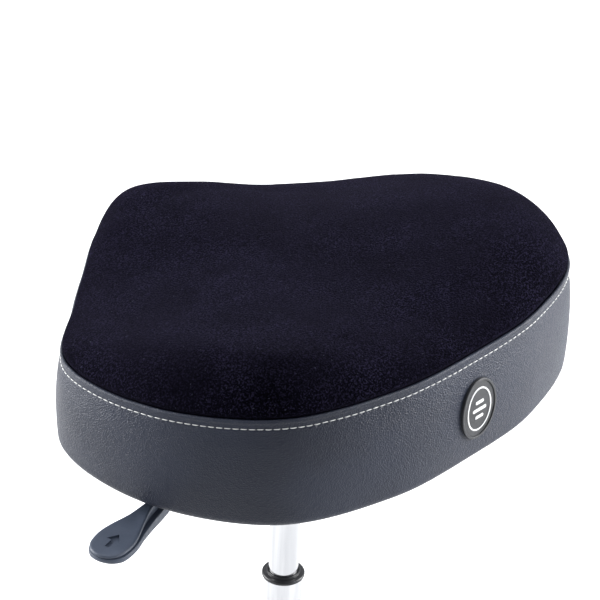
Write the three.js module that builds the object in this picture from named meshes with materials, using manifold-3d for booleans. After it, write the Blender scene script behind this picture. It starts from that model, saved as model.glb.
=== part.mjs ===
// Drum throne: saddle seat on a gas lift with a release lever, over a folding tripod.
// Millimetres, +Z up. The sitter faces -Y. The column stands at COLUMN_X, COLUMN_Y, so that the
// origin is the middle of the throne's footprint, on the floor.
import * as THREE from "three";
import { mergeVertices } from "three/addons/utils/BufferGeometryUtils.js";
import Module from "manifold-3d";

// ---------- driving dimensions ----------
const COLUMN_X = -26.7;
const COLUMN_Y = -9.4;
const GAP = 0.3; // clearance kept between touching pieces

// Seat. Half of its outline from the nose round the sitter's left side to the rear: x, y, and how far
// the padded rim rises above the seam there.
const SEAT_BOTTOM = 496.5;
const HALF_OUTLINE = [
  [0, -227, 35],
  [63, -194, 28],
  [112, -155, 17],
  [166, -111, 11],
  [239, -42, 17],
  [244, 65, 33],
  [190, 160, 34],
  [94, 201, 24],
  [0, 208, 18],
];
const OUTLINE_STEPS = 48;
const SEAM_HEIGHT = 93.5; // above the seat's bottom, at the column
const SEAM_SLOPE = 0.074; // the side band gets taller towards the rear
const SEAM_INSET = 5;
const BOTTOM_ROUND = 10;
const SHOULDER = 41; // width of the rounded shoulder inside the seam
const CROWN_HEIGHT = 117.5; // middle of the top, above the seat's bottom
const SKIN = 2.2;
const HEM = 36; // the band is stapled this far in under the board
const BOARD_THICK = 13.5;
const BOARD_INSET = 13;
const COVER_THICK = 1.4;

// Mechanism under the seat
const PLATE = { width: 180, depth: 130, thick: 3, corner: 14 };
const SCREW_X = 70;
const SCREW_Y = 50;
const SCREW_R = 3;
const CHANNEL = { inner: 18.3, wall: 3, back: -30, front: 65, low: 466 };
const LEVER_ANGLE = THREE.MathUtils.degToRad(12.9);
const LEVER_PIVOT_X = 45;
const LEVER_PIVOT_Z = 477;
const BAR_END = 204;
// The paddle from its root to its tip: x, half width of its top plate, half width of its body, then
// the heights of the plate's top, of the body's upper edge and of the underside.
const PADDLE = [
  [192, 6.2, 6.6, 487, 483.2, 469.5],
  [206, 6.2, 6.6, 487.4, 483.2, 469],
  [214, 4.4, 7, 487.6, 479, 468.5],
  [226, 3.6, 7.4, 487.8, 477.4, 467],
  [240, 5.2, 9, 487.2, 477.6, 468],
  [252, 8, 11, 486.2, 477.8, 469.2],
  [262, 11.2, 13, 485.3, 478.2, 470.4],
  [272, 14.4, 15.6, 484.6, 478.6, 471.4],
  [281, 16.6, 17.3, 484, 479, 472.3],
  [289.5, 17, 17.7, 483.6, 479, 472.8],
  [298, 15.9, 16.8, 483.3, 479, 473.3],
  [304, 12.9, 13.8, 483.1, 479.2, 474],
  [308.5, 7.9, 8.6, 483, 479.3, 474.5],
  [310.5, 0, 0, 483, 479.4, 474.8],
];

// Column
const CYLINDER_R = 14;
const CYLINDER_LOW = 202;
const CYLINDER_TOP = 469;
const CHAMBER_R = 12;
const ROD_R = 5;
const TUBE_R = 18;
const TUBE_BORE = 16.5;
const TUBE_LOW = 22;
const TUBE_TOP = 269.9;
const RING_R = 20.4;
const RING_LOW = 270.2;

// Tripod
const HUB_PIVOT_Z = 38;
const PIVOT_R = 30;
const BRACE = 98; // between a brace's pivots, and from a leg's top pivot to its middle one
const SPREAD = THREE.MathUtils.degToRad(52); // leg from the vertical when open
const COLLAR_PIVOT_Z = HUB_PIVOT_Z + 2 * BRACE * Math.cos(SPREAD);
const LEG = COLLAR_PIVOT_Z / Math.cos(SPREAD);
const LEG_AZIMUTHS = [90, 210, 330];
const STRIP_WIDTH = 16;
const STRIP_THICK = 2.5;
const BRACE_SIDE = 3.4; // inner face of a brace strip from the leg's middle plane
const LEG_SIDE = 6.3; // inner face of a leg strip from the leg's middle plane
const PIN_R = 3;
const SLOT_RISE = 15; // the collar's slots let the leg tops rise this far halfway through a fold
const SLIDE_R = 18.4;
const SLIDER_R = 21.5;

// ---------- materials ----------
const finish = (color, roughness, metalness = 0) =>
  new THREE.MeshStandardMaterial({ color, roughness, metalness });
const chrome = () => finish(0xe8eaec, 0.12, 1);
const steel = () => finish(0xb4b7ba, 0.4, 1);
const blackSteel = () => finish(0x17181a, 0.5, 0.6);
const blackPlastic = () => finish(0x1b1b1d, 0.6);
const rubber = () => finish(0x141414, 0.9);
const velour = () => finish(0x1a1826, 1);
const vinyl = () => finish(0x2c2e33, 0.45);
const fabric = () => finish(0x121212, 1);
const foam = () => finish(0xd9cfa8, 1);
const plywood = () => finish(0xb9905c, 0.8);

// ---------- geometry helpers ----------
function bare(geometry) {
  const copy = geometry.clone();
  copy.deleteAttribute("normal");
  copy.deleteAttribute("uv");
  return mergeVertices(copy, 1e-4);
}

// Turns the faces round where they point inwards.
function facingOut(geometry) {
  const merged = bare(geometry);
  const p = merged.attributes.position;
  const index = merged.index.array;
  const [a, b, c] = [new THREE.Vector3(), new THREE.Vector3(), new THREE.Vector3()];
  let volume = 0;
  for (let i = 0; i < index.length; i += 3) {
    a.fromBufferAttribute(p, index[i]);
    b.fromBufferAttribute(p, index[i + 1]);
    c.fromBufferAttribute(p, index[i + 2]);
    volume += a.dot(b.cross(c));
  }
  if (volume < 0) {
    for (let i = 0; i < index.length; i += 3) {
      [index[i + 1], index[i + 2]] = [index[i + 2], index[i + 1]];
    }
  }
  return merged;
}

const wasm = await Module();
wasm.setup();

function solid(geometry) {
  const closed = facingOut(geometry);
  return new wasm.Manifold(
    new wasm.Mesh({
      numProp: 3,
      vertProperties: closed.attributes.position.array,
      triVerts: new Uint32Array(closed.index.array),
    }),
  );
}

function geometryOf(manifold) {
  const mesh = manifold.getMesh();
  const geometry = new THREE.BufferGeometry();
  geometry.setAttribute("position", new THREE.BufferAttribute(mesh.vertProperties, 3));
  geometry.setIndex(new THREE.BufferAttribute(mesh.triVerts, 1));
  return geometry;
}

function cut(geometry, ...tools) {
  return geometryOf(tools.reduce((body, tool) => body.subtract(solid(tool)), solid(geometry)));
}

function join(geometry, ...others) {
  return geometryOf(others.reduce((body, other) => body.add(solid(other)), solid(geometry)));
}

function common(geometry, other) {
  return geometryOf(solid(geometry).intersect(solid(other)));
}

// A body of revolution about Z from [radius, height] points. A profile that doesn't start and end on
// the axis is closed on itself.
function lathe(points, segments = 24) {
  const profile = points.map(([r, z]) => new THREE.Vector2(r, z));
  if (points[0][0] > 0) profile.push(profile[0].clone());
  return facingOut(new THREE.LatheGeometry(profile, segments).rotateX(Math.PI / 2));
}

// A plain ring about Z.
const ring = (inner, outer, low, high, segments) =>
  lathe([[inner, low], [outer, low], [outer, high], [inner, high]], segments);

// A round bar along Y, centred on the XZ plane, at x, z.
const crossBar = (radius, length, x, z, segments = 12) =>
  new THREE.CylinderGeometry(radius, radius, length, segments).translate(x, 0, z);

// A rivet along Y with a low head at each end.
function rivet(radius, halfLength, x, z) {
  const head = radius + 2;
  const rise = 1.8;
  const profile = [
    [0, -halfLength - rise],
    [head - 1.2, -halfLength - rise],
    [head, -halfLength],
    [radius, -halfLength],
    [radius, halfLength],
    [head, halfLength],
    [head - 1.2, halfLength + rise],
    [0, halfLength + rise],
  ];
  const points = profile.map(([r, y]) => new THREE.Vector2(r, y));
  return facingOut(new THREE.LatheGeometry(points, 12).translate(x, 0, z));
}

function roundedRectangle(width, depth, corner) {
  const [x, y] = [width / 2, depth / 2];
  const shape = new THREE.Shape();
  shape.absarc(x - corner, y - corner, corner, 0, Math.PI / 2);
  shape.absarc(corner - x, y - corner, corner, Math.PI / 2, Math.PI);
  shape.absarc(corner - x, corner - y, corner, Math.PI, 1.5 * Math.PI);
  shape.absarc(x - corner, corner - y, corner, 1.5 * Math.PI, 2 * Math.PI);
  return shape;
}

function withHoles(shape, centres, radius) {
  for (const [x, y] of centres) {
    shape.holes.push(new THREE.Path().absarc(x, y, radius, 0, 2 * Math.PI, true));
  }
  return shape;
}

// A shape drawn in XY, from height low to height high.
const slab = (shape, low, high, curveSegments = 4) =>
  new THREE.ExtrudeGeometry(shape, {
    depth: high - low,
    bevelEnabled: false,
    curveSegments,
  }).translate(0, 0, low);

// A shape drawn in XZ, between y = near and y = far.
const upright = (shape, near, far, curveSegments = 4) =>
  new THREE.ExtrudeGeometry(shape, { depth: far - near, bevelEnabled: false, curveSegments })
    .rotateX(Math.PI / 2)
    .translate(0, far, 0);

const polygon = (points) => new THREE.Shape(points.map(([x, y]) => new THREE.Vector2(x, y)));

// ---------- the tree of named pieces ----------
const throne = new THREE.Group();
throne.position.set(COLUMN_X, COLUMN_Y, 0);

function piece(parent, name, geometry, material) {
  const mesh = new THREE.Mesh(geometry, material);
  mesh.name = name;
  parent.add(mesh);
  return mesh;
}

function turned(angle) {
  const group = new THREE.Group();
  group.rotation.z = angle;
  throne.add(group);
  return group;
}

// ---------- seat ----------
const mirrored = HALF_OUTLINE.slice(1, -1).reverse();
const outlineCurve = new THREE.CatmullRomCurve3(
  [...HALF_OUTLINE, ...mirrored.map(([x, y, rise]) => [-x, y, rise])].map(
    ([x, y, rise]) => new THREE.Vector3(x, y, rise),
  ),
  true,
  "catmullrom",
  0.5,
);
const rim = Array.from({ length: OUTLINE_STEPS }, (_, i) => {
  const p = outlineCurve.getPoint(i / OUTLINE_STEPS);
  return { x: p.x, y: p.y, rise: p.z, seam: SEAM_HEIGHT + SEAM_SLOPE * p.y };
});

// A point of the seat at an inset from the outline and a height above the seat's bottom.
function seatPoint({ x, y }, inset, height) {
  const k = 1 - inset / Math.hypot(x, y);
  return [x * k, y * k, SEAT_BOTTOM + height];
}

// The side band leans in a little towards the seam.
const lean = (height, seam) =>
  SEAM_INSET * Math.max(0, (height - BOTTOM_ROUND) / (seam - BOTTOM_ROUND)) ** 2;

// The side from the bottom edge up to the seam, as [inset, height], moved in by a thickness.
function sideProfile(seam, thick) {
  const points = [];
  for (let i = 0; i <= 3; i++) {
    const a = (i / 3) * (Math.PI / 2);
    const r = BOTTOM_ROUND - thick;
    points.push([BOTTOM_ROUND - r * Math.sin(a), BOTTOM_ROUND - r * Math.cos(a)]);
  }
  for (const part of [0.5, 1]) {
    const height = BOTTOM_ROUND + part * (seam - BOTTOM_ROUND);
    points.push([lean(height, seam) + thick, height]);
  }
  return points;
}

// The padded top from the seam to the inner edge of the shoulder and on towards the middle.
function topProfile(point, thick) {
  const { rise, seam } = point;
  const points = [];
  for (let i = 1; i <= 4; i++) {
    const a = (i / 4) * (Math.PI / 2);
    const inset = SEAM_INSET + thick + (SHOULDER - thick) * (1 - Math.cos(a));
    points.push([inset, seam + (rise - thick) * Math.sin(a)]);
  }
  const radius = Math.hypot(point.x, point.y);
  const edge = radius - SEAM_INSET - SHOULDER;
  const edgeHeight = seam + rise;
  for (const k of [0.66, 0.33]) {
    const height = CROWN_HEIGHT + (edgeHeight - CROWN_HEIGHT) * k * k;
    points.push([radius - edge * k, height - thick]);
  }
  return points;
}

// A closed skin round the outline from one closed section per outline point. Where pole heights are
// given, the section's ends meet the middle of the seat there.
function loft(sections, startPole, endPole) {
  const rows = sections[0].length;
  const count = sections.length;
  const vertices = [];
  sections.forEach((section, i) => {
    section.forEach(([inset, height]) => vertices.push(...seatPoint(rim[i], inset, height)));
  });
  const index = [];
  const lastRow = startPole === undefined ? rows : rows - 1;
  for (let i = 0; i < count; i++) {
    const next = (i + 1) % count;
    for (let j = 0; j < lastRow; j++) {
      const up = (j + 1) % rows;
      const [a, b] = [i * rows + j, next * rows + j];
      const [c, d] = [next * rows + up, i * rows + up];
      index.push(a, b, c, a, c, d);
    }
    if (startPole !== undefined) {
      index.push(i * rows, count * rows, next * rows);
      index.push(i * rows + rows - 1, next * rows + rows - 1, count * rows + 1);
    }
  }
  if (startPole !== undefined) {
    vertices.push(0, 0, SEAT_BOTTOM + startPole, 0, 0, SEAT_BOTTOM + endPole);
  }
  const geometry = new THREE.BufferGeometry();
  geometry.setAttribute("position", new THREE.Float32BufferAttribute(vertices, 3));
  geometry.setIndex(index);
  return facingOut(geometry);
}

// The outline moved in, as a flat shape.
function insetShape(inset) {
  return polygon(rim.map((point) => seatPoint(point, inset, 0).slice(0, 2)));
}

const screwPlaces = [1, -1].flatMap((sx) => [1, -1].map((sy) => [sx * SCREW_X, sy * SCREW_Y]));

function addSeat() {
  const band = rim.map((point) => [
    [HEM, 0],
    ...sideProfile(point.seam, 0),
    ...sideProfile(point.seam, SKIN).reverse(),
    [HEM, SKIN],
  ]);
  piece(throne, "side_band", loft(band), vinyl());

  const cover = rim.map((point) => [
    ...topProfile(point, SKIN).reverse(),
    [SEAM_INSET + SKIN, point.seam + GAP],
    [SEAM_INSET, point.seam + GAP],
    ...topProfile(point, 0),
  ]);
  piece(throne, "velour_top", loft(cover, CROWN_HEIGHT - SKIN, CROWN_HEIGHT), velour());

  const boardTop = SKIN + 0.4 + BOARD_THICK;
  const inside = SKIN + 2;
  const filling = rim.map((point) => [
    [BOARD_INSET, boardTop + GAP],
    ...sideProfile(point.seam, inside).slice(4),
    ...topProfile(point, inside),
  ]);
  piece(throne, "foam_core", loft(filling, boardTop + GAP, CROWN_HEIGHT - inside), foam());

  const board = withHoles(insetShape(BOARD_INSET), screwPlaces, SCREW_R + GAP);
  const boardLow = SEAT_BOTTOM + SKIN + 0.4;
  piece(throne, "seat_board", slab(board, boardLow, boardLow + BOARD_THICK), plywood());

  const dust = withHoles(insetShape(HEM + 1), screwPlaces, SCREW_R + GAP);
  piece(throne, "dust_cover", slab(dust, SEAT_BOTTOM + 0.4, SEAT_BOTTOM + 0.4 + COVER_THICK), fabric());
}

// A plain oval plate on the band at the rear.
function addBadge() {
  const [width, height, thick] = [44, 57, 3];
  const rear = HALF_OUTLINE[HALF_OUTLINE.length - 1][1];
  const middle = SEAT_BOTTOM + 55.5;
  const oval = new THREE.Shape();
  oval.absellipse(0, middle, width / 2, height / 2, 0, 2 * Math.PI);
  piece(throne, "badge", upright(oval, rear + GAP, rear + GAP + thick, 12), blackPlastic());
}

// ---------- mechanism ----------
function addMechanism() {
  const plate = withHoles(
    roundedRectangle(PLATE.width, PLATE.depth, PLATE.corner),
    screwPlaces,
    SCREW_R + GAP,
  );
  const plateTop = SEAT_BOTTOM - GAP;
  const plateLow = plateTop - PLATE.thick;
  piece(throne, "mount_plate", slab(plate, plateLow, plateTop), blackSteel());

  screwPlaces.forEach(([x, y], i) => {
    const screw = lathe([
      [0, plateLow - 3.9],
      [4.2, plateLow - 3.9],
      [6, plateLow - 2],
      [6, plateLow - GAP],
      [SCREW_R, plateLow - GAP],
      [SCREW_R, SEAT_BOTTOM + 11],
      [0, SEAT_BOTTOM + 13],
    ], 10);
    piece(throne, `plate_screw_${i + 1}`, screw.translate(x, y, 0), steel());
  });

  const side = turned(LEVER_ANGLE);
  const web = plateLow - GAP;
  const outer = CHANNEL.inner + CHANNEL.wall;
  const section = polygon([
    [-outer, CHANNEL.low],
    [-CHANNEL.inner, CHANNEL.low],
    [-CHANNEL.inner, web - CHANNEL.wall],
    [CHANNEL.inner, web - CHANNEL.wall],
    [CHANNEL.inner, CHANNEL.low],
    [outer, CHANNEL.low],
    [outer, web],
    [-outer, web],
  ]);
  const channel = upright(section, CHANNEL.back, CHANNEL.front).rotateZ(-Math.PI / 2);
  const pinHole = crossBar(PIN_R + GAP, 60, LEVER_PIVOT_X, LEVER_PIVOT_Z);
  piece(side, "mechanism_channel", cut(channel, pinHole), blackSteel());
  const pin = rivet(PIN_R, outer + GAP, LEVER_PIVOT_X, LEVER_PIVOT_Z);
  piece(side, "lever_pin", pin, steel());

  const socketTop = CHANNEL.low - GAP;
  const socket = lathe([
    [CYLINDER_R + GAP, 430],
    [17, 430],
    [18, 431],
    [18, 460],
    [24, 461],
    [24, socketTop],
    [13.6, socketTop],
  ]);
  piece(throne, "taper_socket", socket, blackSteel());
}

// ---------- lever ----------
// Goes round the paddle's outline: out along one side, over the tip and back. A column of the table
// gives the half width; the points are moved in by an inset.
function paddleOutline(column, inset) {
  const side = PADDLE.map((row) => new THREE.Vector2(row[0], -row[column]));
  const back = side.slice(0, -1).reverse().map((p) => new THREE.Vector2(p.x, -p.y));
  const loop = [...side, ...back];
  return loop.map((p, i) => {
    const before = loop[(i + loop.length - 1) % loop.length];
    const along = loop[(i + 1) % loop.length].clone().sub(before).normalize();
    return [p.x - along.y * inset, p.y + along.x * inset];
  });
}

// The paddle: a rounded plate over a wider body, with a groove between them.
function paddleGeometry() {
  const last = PADDLE.length - 1;
  const [PLATE_HALF, BODY_HALF, TOP, WALL, LOW] = [1, 2, 3, 4, 5];
  // Each level: whose half width, inset from it, whose height, distance above it.
  const levels = [
    [PLATE_HALF, 1.5, TOP, 0],
    [PLATE_HALF, 0.4, TOP, -0.5],
    [PLATE_HALF, 0, TOP, -1.5],
    [PLATE_HALF, 0.2, TOP, -2.8],
    [PLATE_HALF, 1.2, TOP, -3],
    [PLATE_HALF, 1.2, WALL, 0],
    [BODY_HALF, 0.7, WALL, 0],
    [BODY_HALF, 0, WALL, -0.8],
    [BODY_HALF, 0, LOW, 2],
    [BODY_HALF, 1.6, LOW, 0],
  ];
  const count = 2 * last + 1;
  const vertices = levels.flatMap(([half, inset, height, above]) =>
    paddleOutline(half, inset).flatMap(([x, y], i) => {
      const row = PADDLE[Math.min(i, 2 * last - i)];
      return [x, y, row[height] + above];
    }),
  );
  const index = [];
  for (let level = 0; level < levels.length - 1; level++) {
    for (let i = 0; i < count; i++) {
      const [a, b] = [level * count + i, level * count + ((i + 1) % count)];
      index.push(a, a + count, b + count, a, b + count, b);
    }
  }
  const bottom = (levels.length - 1) * count;
  for (let i = 0; i < last; i++) {
    const [a, b, c, d] = [i, i + 1, 2 * last - i - 1, 2 * last - i];
    index.push(a, b, d, bottom + b, bottom + a, bottom + d);
    if (b !== c) index.push(b, c, d, bottom + c, bottom + b, bottom + d);
  }
  const geometry = new THREE.BufferGeometry();
  geometry.setAttribute("position", new THREE.Float32BufferAttribute(vertices, 3));
  geometry.setIndex(index);
  return geometry;
}

function addLever() {
  const side = turned(LEVER_ANGLE);
  const outline = polygon([
    [-10, 473.5],
    [24, 473.5],
    [34, 470],
    [54, 470],
    [60, 472],
    [BAR_END, 472],
    [BAR_END, 482],
    [60, 482],
    [54, 484],
    [36, 484],
    [24, 481],
    [-10, 481],
  ]);
  const eye = new THREE.Path();
  eye.absarc(LEVER_PIVOT_X, LEVER_PIVOT_Z, PIN_R + GAP, 0, 2 * Math.PI, true);
  outline.holes.push(eye);
  piece(side, "lever_bar", upright(outline, -4, 4), blackSteel());

  const pocket = new THREE.BoxGeometry(60, 8.6, 10.6).translate(BAR_END + GAP - 30, 0, 477);
  piece(side, "lever_paddle", cut(paddleGeometry(), pocket), blackPlastic());
}

// ---------- gas lift ----------
function addGasLift() {
  const cylinder = lathe([
    [ROD_R + GAP, CYLINDER_LOW],
    [13, CYLINDER_LOW],
    [CYLINDER_R, CYLINDER_LOW + 1.5],
    [CYLINDER_R, 430],
    [13.25, CYLINDER_TOP - 2],
    [12.2, CYLINDER_TOP],
    [3.8, CYLINDER_TOP],
    [3.8, 455],
    [CHAMBER_R, 455],
    [CHAMBER_R, CYLINDER_LOW + 12],
    [ROD_R + GAP, CYLINDER_LOW + 12],
  ]);
  piece(throne, "gas_cylinder", cylinder, chrome());

  const button = lathe([
    [0, 445],
    [6, 445],
    [6, 448],
    [3.5, 448],
    [3.5, 472.6],
    [3, 473.2],
    [0, 473.2],
  ], 20);
  piece(throne, "valve_button", button, steel());

  const shoulder = 44.9;
  const pistonLow = CYLINDER_LOW + 15;
  const rod = lathe([
    [0, 13],
    [ROD_R, 13],
    [ROD_R, shoulder],
    [9, shoulder],
    [9, shoulder + 3],
    [ROD_R, shoulder + 3],
    [ROD_R, pistonLow],
    [4, pistonLow],
    [4, pistonLow + 14.6],
    [6, pistonLow + 14.6],
    [6, pistonLow + 18],
    [0, pistonLow + 18],
  ], 24);
  piece(throne, "piston_rod", rod, chrome());
  const piston = ring(4.3, CHAMBER_R - GAP, pistonLow + GAP, pistonLow + 14.3, 24);
  piece(throne, "piston", piston, blackPlastic());
  const stop = shoulder + 3 + GAP;
  const bumper = lathe([
    [ROD_R + GAP, stop],
    [11, stop],
    [11, stop + 4],
    [9.5, stop + 5],
    [11, stop + 6],
    [11, stop + 10],
    [ROD_R + GAP, stop + 10],
  ], 24);
  piece(throne, "bump_stop", bumper, rubber());
  piece(throne, "rod_clip", ring(ROD_R + GAP, 9, 15.4, 17.4, 24), steel());
  piece(throne, "bearing_upper_race", ring(ROD_R + GAP, 14, 42.6, 44.6, 20), steel());
}

// ---------- column ----------
function addColumn() {
  piece(throne, "outer_tube", ring(TUBE_BORE, TUBE_R, TUBE_LOW, TUBE_TOP, 36), chrome());
  const guide = ring(CYLINDER_R + GAP, TUBE_BORE - GAP, 195, TUBE_TOP - GAP, 32);
  piece(throne, "guide_bushing", guide, blackPlastic());
  const cap = lathe([
    [CYLINDER_R + GAP, RING_LOW],
    [RING_R, RING_LOW],
    [RING_R, RING_LOW + 2.6],
    [RING_R - 1, RING_LOW + 3.6],
    [15.8, RING_LOW + 3.6],
    [15.4, RING_LOW + 5.6],
    [CYLINDER_R + GAP, RING_LOW + 5.6],
  ], 28);
  piece(throne, "column_ring", cap, blackPlastic());

  const plug = lathe([
    [ROD_R + 0.4, 18],
    [TUBE_R - 1, 18],
    [TUBE_R, 19],
    [TUBE_R, TUBE_LOW - GAP],
    [TUBE_BORE - GAP, TUBE_LOW - GAP],
    [TUBE_BORE - GAP, 36],
    [ROD_R + 0.4, 36],
  ]);
  piece(throne, "bottom_plug", plug, blackPlastic());
  piece(throne, "bearing_lower_race", ring(ROD_R + GAP, 14, 36.4, 38.4, 20), steel());
  const balls = lathe([
    [6.6, 39.6],
    [7.6, 38.7],
    [12.6, 38.7],
    [13.6, 39.6],
    [13.6, 41.4],
    [12.6, 42.3],
    [7.6, 42.3],
    [6.6, 41.4],
  ], 20);
  piece(throne, "bearing_ball_ring", balls, steel());
}

// ---------- tripod ----------
// A flat strip with round ends between two pivots, in the leg's radial plane, from y = near outwards.
function strip(from, to, near, holes) {
  const length = Math.hypot(to[0] - from[0], to[1] - from[1]);
  const angle = Math.atan2(to[1] - from[1], to[0] - from[0]);
  const half = STRIP_WIDTH / 2;
  const shape = new THREE.Shape();
  shape.absarc(0, 0, half, Math.PI / 2, 1.5 * Math.PI);
  shape.absarc(length, 0, half, -Math.PI / 2, Math.PI / 2);
  withHoles(shape, holes.map((along) => [along, 0]), PIN_R + GAP);
  return new THREE.ExtrudeGeometry(shape, {
    depth: STRIP_THICK,
    bevelEnabled: false,
    curveSegments: 4,
  })
    .rotateZ(angle)
    .rotateX(Math.PI / 2)
    .translate(from[0], near + STRIP_THICK, from[1]);
}

// Where the two strips of a pair start, for the side they are on.
const pairSides = (inner) => [["left", inner], ["right", -inner - STRIP_THICK]];

const legPoint = (along, across = 0) => [
  PIVOT_R + along * Math.sin(SPREAD) + across * Math.cos(SPREAD),
  COLLAR_PIVOT_Z - along * Math.cos(SPREAD) + across * Math.sin(SPREAD),
];

// A rubber boot round the end of a leg, cut flat where it stands on the floor.
function footGeometry() {
  const halfWidth = 14;
  const corners = [[204, -13], [262, -15], [266, -9], [266, 10], [261, 14], [204, 13]];
  const boot = upright(
    polygon(corners.map(([along, across]) => legPoint(along, across))),
    -halfWidth,
    halfWidth,
  );
  const aboveFloor = new THREE.BoxGeometry(400, 100, 200).translate(200, 0, 100);
  const pocketEnd = LEG - 14;
  const half = STRIP_WIDTH / 2 + GAP;
  const pocketShape = polygon(
    [[190, -half], [pocketEnd, -half], [pocketEnd, half], [190, half]].map(([along, across]) =>
      legPoint(along, across),
    ),
  );
  const pocketSide = LEG_SIDE + STRIP_THICK + GAP;
  return cut(common(boot, aboveFloor), upright(pocketShape, -pocketSide, pocketSide));
}

function addLeg(azimuth, number) {
  const plane = turned(THREE.MathUtils.degToRad(azimuth));
  const middle = legPoint(BRACE);
  const top = legPoint(0);
  const stripEnd = LEG - 14 - GAP - STRIP_WIDTH / 2;
  for (const [sideName, near] of pairSides(BRACE_SIDE)) {
    const brace = strip([PIVOT_R, HUB_PIVOT_Z], middle, near, [0, BRACE]);
    piece(plane, `brace_${number}_${sideName}`, brace, chrome());
  }
  for (const [sideName, near] of pairSides(LEG_SIDE)) {
    const leg = strip(top, legPoint(stripEnd), near, [0, BRACE]);
    piece(plane, `leg_${number}_${sideName}`, leg, chrome());
  }
  const legOutside = LEG_SIDE + STRIP_THICK + GAP;
  piece(plane, `leg_pin_${number}`, rivet(PIN_R, legOutside, ...top), steel());
  piece(plane, `middle_pin_${number}`, rivet(PIN_R, legOutside, ...middle), steel());
  const braceOutside = BRACE_SIDE + STRIP_THICK + GAP;
  piece(plane, `hub_pin_${number}`, rivet(PIN_R, braceOutside, PIVOT_R, HUB_PIVOT_Z), steel());
  piece(plane, `foot_${number}`, footGeometry(), rubber());
}

// A ring round the tube with a lug for each leg.
function lugRing(low, high, lugLow, lugHigh, halfThick, openings) {
  const body = ring(SLIDE_R, SLIDER_R, low, high, 30);
  const lugs = LEG_AZIMUTHS.map((azimuth) => {
    const shape = polygon([
      [SLIDER_R - 1.5, lugLow],
      [PIVOT_R + 1, lugLow],
      [PIVOT_R + 6.5, lugLow + 5],
      [PIVOT_R + 6.5, lugHigh - 5],
      [PIVOT_R + 1, lugHigh],
      [SLIDER_R - 1.5, lugHigh],
    ]);
    const lug = cut(upright(shape, -halfThick, halfThick), ...openings());
    return lug.rotateZ(THREE.MathUtils.degToRad(azimuth));
  });
  return join(body, ...lugs);
}

function addHub() {
  const hole = () => [crossBar(PIN_R + GAP, 40, PIVOT_R, HUB_PIVOT_Z)];
  const hub = lugRing(29, 47, 31, 45, BRACE_SIDE - GAP, hole);
  piece(throne, "brace_hub", hub, blackSteel());
}

function addCollar() {
  const low = COLLAR_PIVOT_Z - 10;
  const high = COLLAR_PIVOT_Z + SLOT_RISE + 8;
  const slot = () => {
    const r = PIN_R + GAP;
    const shape = new THREE.Shape();
    shape.absarc(PIVOT_R, COLLAR_PIVOT_Z, r, Math.PI, 2 * Math.PI);
    shape.absarc(PIVOT_R, COLLAR_PIVOT_Z + SLOT_RISE, r, 0, Math.PI);
    return [upright(shape, -20, 20)];
  };
  const collar = lugRing(low, high, low + 2, high - 1, LEG_SIDE - GAP, slot);
  const bossZ = (low + high) / 2;
  const boss = (radius, from, to) =>
    new THREE.CylinderGeometry(radius, radius, to - from, 14).translate(0, -(from + to) / 2, bossZ);
  const drilled = cut(join(collar, boss(7, 20, 29)), boss(3 + GAP, 10, 40));
  piece(throne, "leg_collar", drilled, blackSteel());

  const shank = boss(3, 18.8, 36);
  const grip = new THREE.CylinderGeometry(6.5, 8, 14, 14).translate(0, -41, bossZ);
  const wings = new THREE.Shape();
  wings.moveTo(-19, 5);
  wings.quadraticCurveTo(-22, 0, -19, -5);
  wings.quadraticCurveTo(-8, -4, 0, -6);
  wings.quadraticCurveTo(8, -4, 19, -5);
  wings.quadraticCurveTo(22, 0, 19, 5);
  wings.quadraticCurveTo(8, 4, 0, 6);
  wings.quadraticCurveTo(-8, 4, -19, 5);
  const wing = upright(wings, -46, -38).translate(0, 0, bossZ);
  piece(throne, "wing_bolt", join(shank, grip, wing), blackPlastic());
}

addSeat();
addBadge();
addMechanism();
addLever();
addGasLift();
addColumn();
addHub();
addCollar();
LEG_AZIMUTHS.forEach((azimuth, i) => addLeg(azimuth, i + 1));

export default throne;
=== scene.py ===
"""Looks of the drum throne: saddle seat, gas lift, release lever and folding tripod.

Shapes are drawn in millimetres about the column's axis, up from the floor, and add_piece() puts them
into the frame, in metres. The sitter faces -Y.
"""
from math import asin, atan2, cos, exp, hypot, pi, radians, sin, sqrt, tan

import bmesh
import bpy
import numpy as np
from mathutils import Matrix, Vector, noise
from mathutils.bvhtree import BVHTree
from mathutils.kdtree import KDTree


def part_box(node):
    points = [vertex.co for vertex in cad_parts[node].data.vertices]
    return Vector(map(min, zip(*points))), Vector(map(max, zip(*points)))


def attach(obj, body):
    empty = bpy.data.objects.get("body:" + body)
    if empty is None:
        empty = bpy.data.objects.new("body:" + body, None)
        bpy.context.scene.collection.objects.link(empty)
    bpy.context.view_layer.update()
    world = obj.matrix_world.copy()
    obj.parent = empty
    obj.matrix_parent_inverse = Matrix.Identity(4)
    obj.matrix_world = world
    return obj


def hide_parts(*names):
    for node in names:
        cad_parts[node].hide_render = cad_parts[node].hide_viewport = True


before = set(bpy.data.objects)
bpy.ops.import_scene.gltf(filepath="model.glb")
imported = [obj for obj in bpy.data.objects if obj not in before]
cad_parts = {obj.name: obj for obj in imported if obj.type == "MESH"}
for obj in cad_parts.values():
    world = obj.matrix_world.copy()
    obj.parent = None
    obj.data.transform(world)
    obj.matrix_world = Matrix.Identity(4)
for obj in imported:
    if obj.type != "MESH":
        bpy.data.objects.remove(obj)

MM = 0.001
UP = Vector((0, 0, 1))
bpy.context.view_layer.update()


def centre(node):
    low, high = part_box(node)
    return (low + high) / 2


COLUMN = centre("outer_tube") * Vector((1, 1, 0))
TO_FRAME = Matrix.Translation(COLUMN) @ Matrix.Scale(MM, 4)


def local(point):
    """A point of the frame in millimetres about the column."""
    return (point - COLUMN) / MM


def box_mm(node):
    """The lowest and the highest corner of a node's box, in millimetres about the column."""
    return [local(corner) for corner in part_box(node)]


def heights(node):
    return [corner.z for corner in box_mm(node)]


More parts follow.
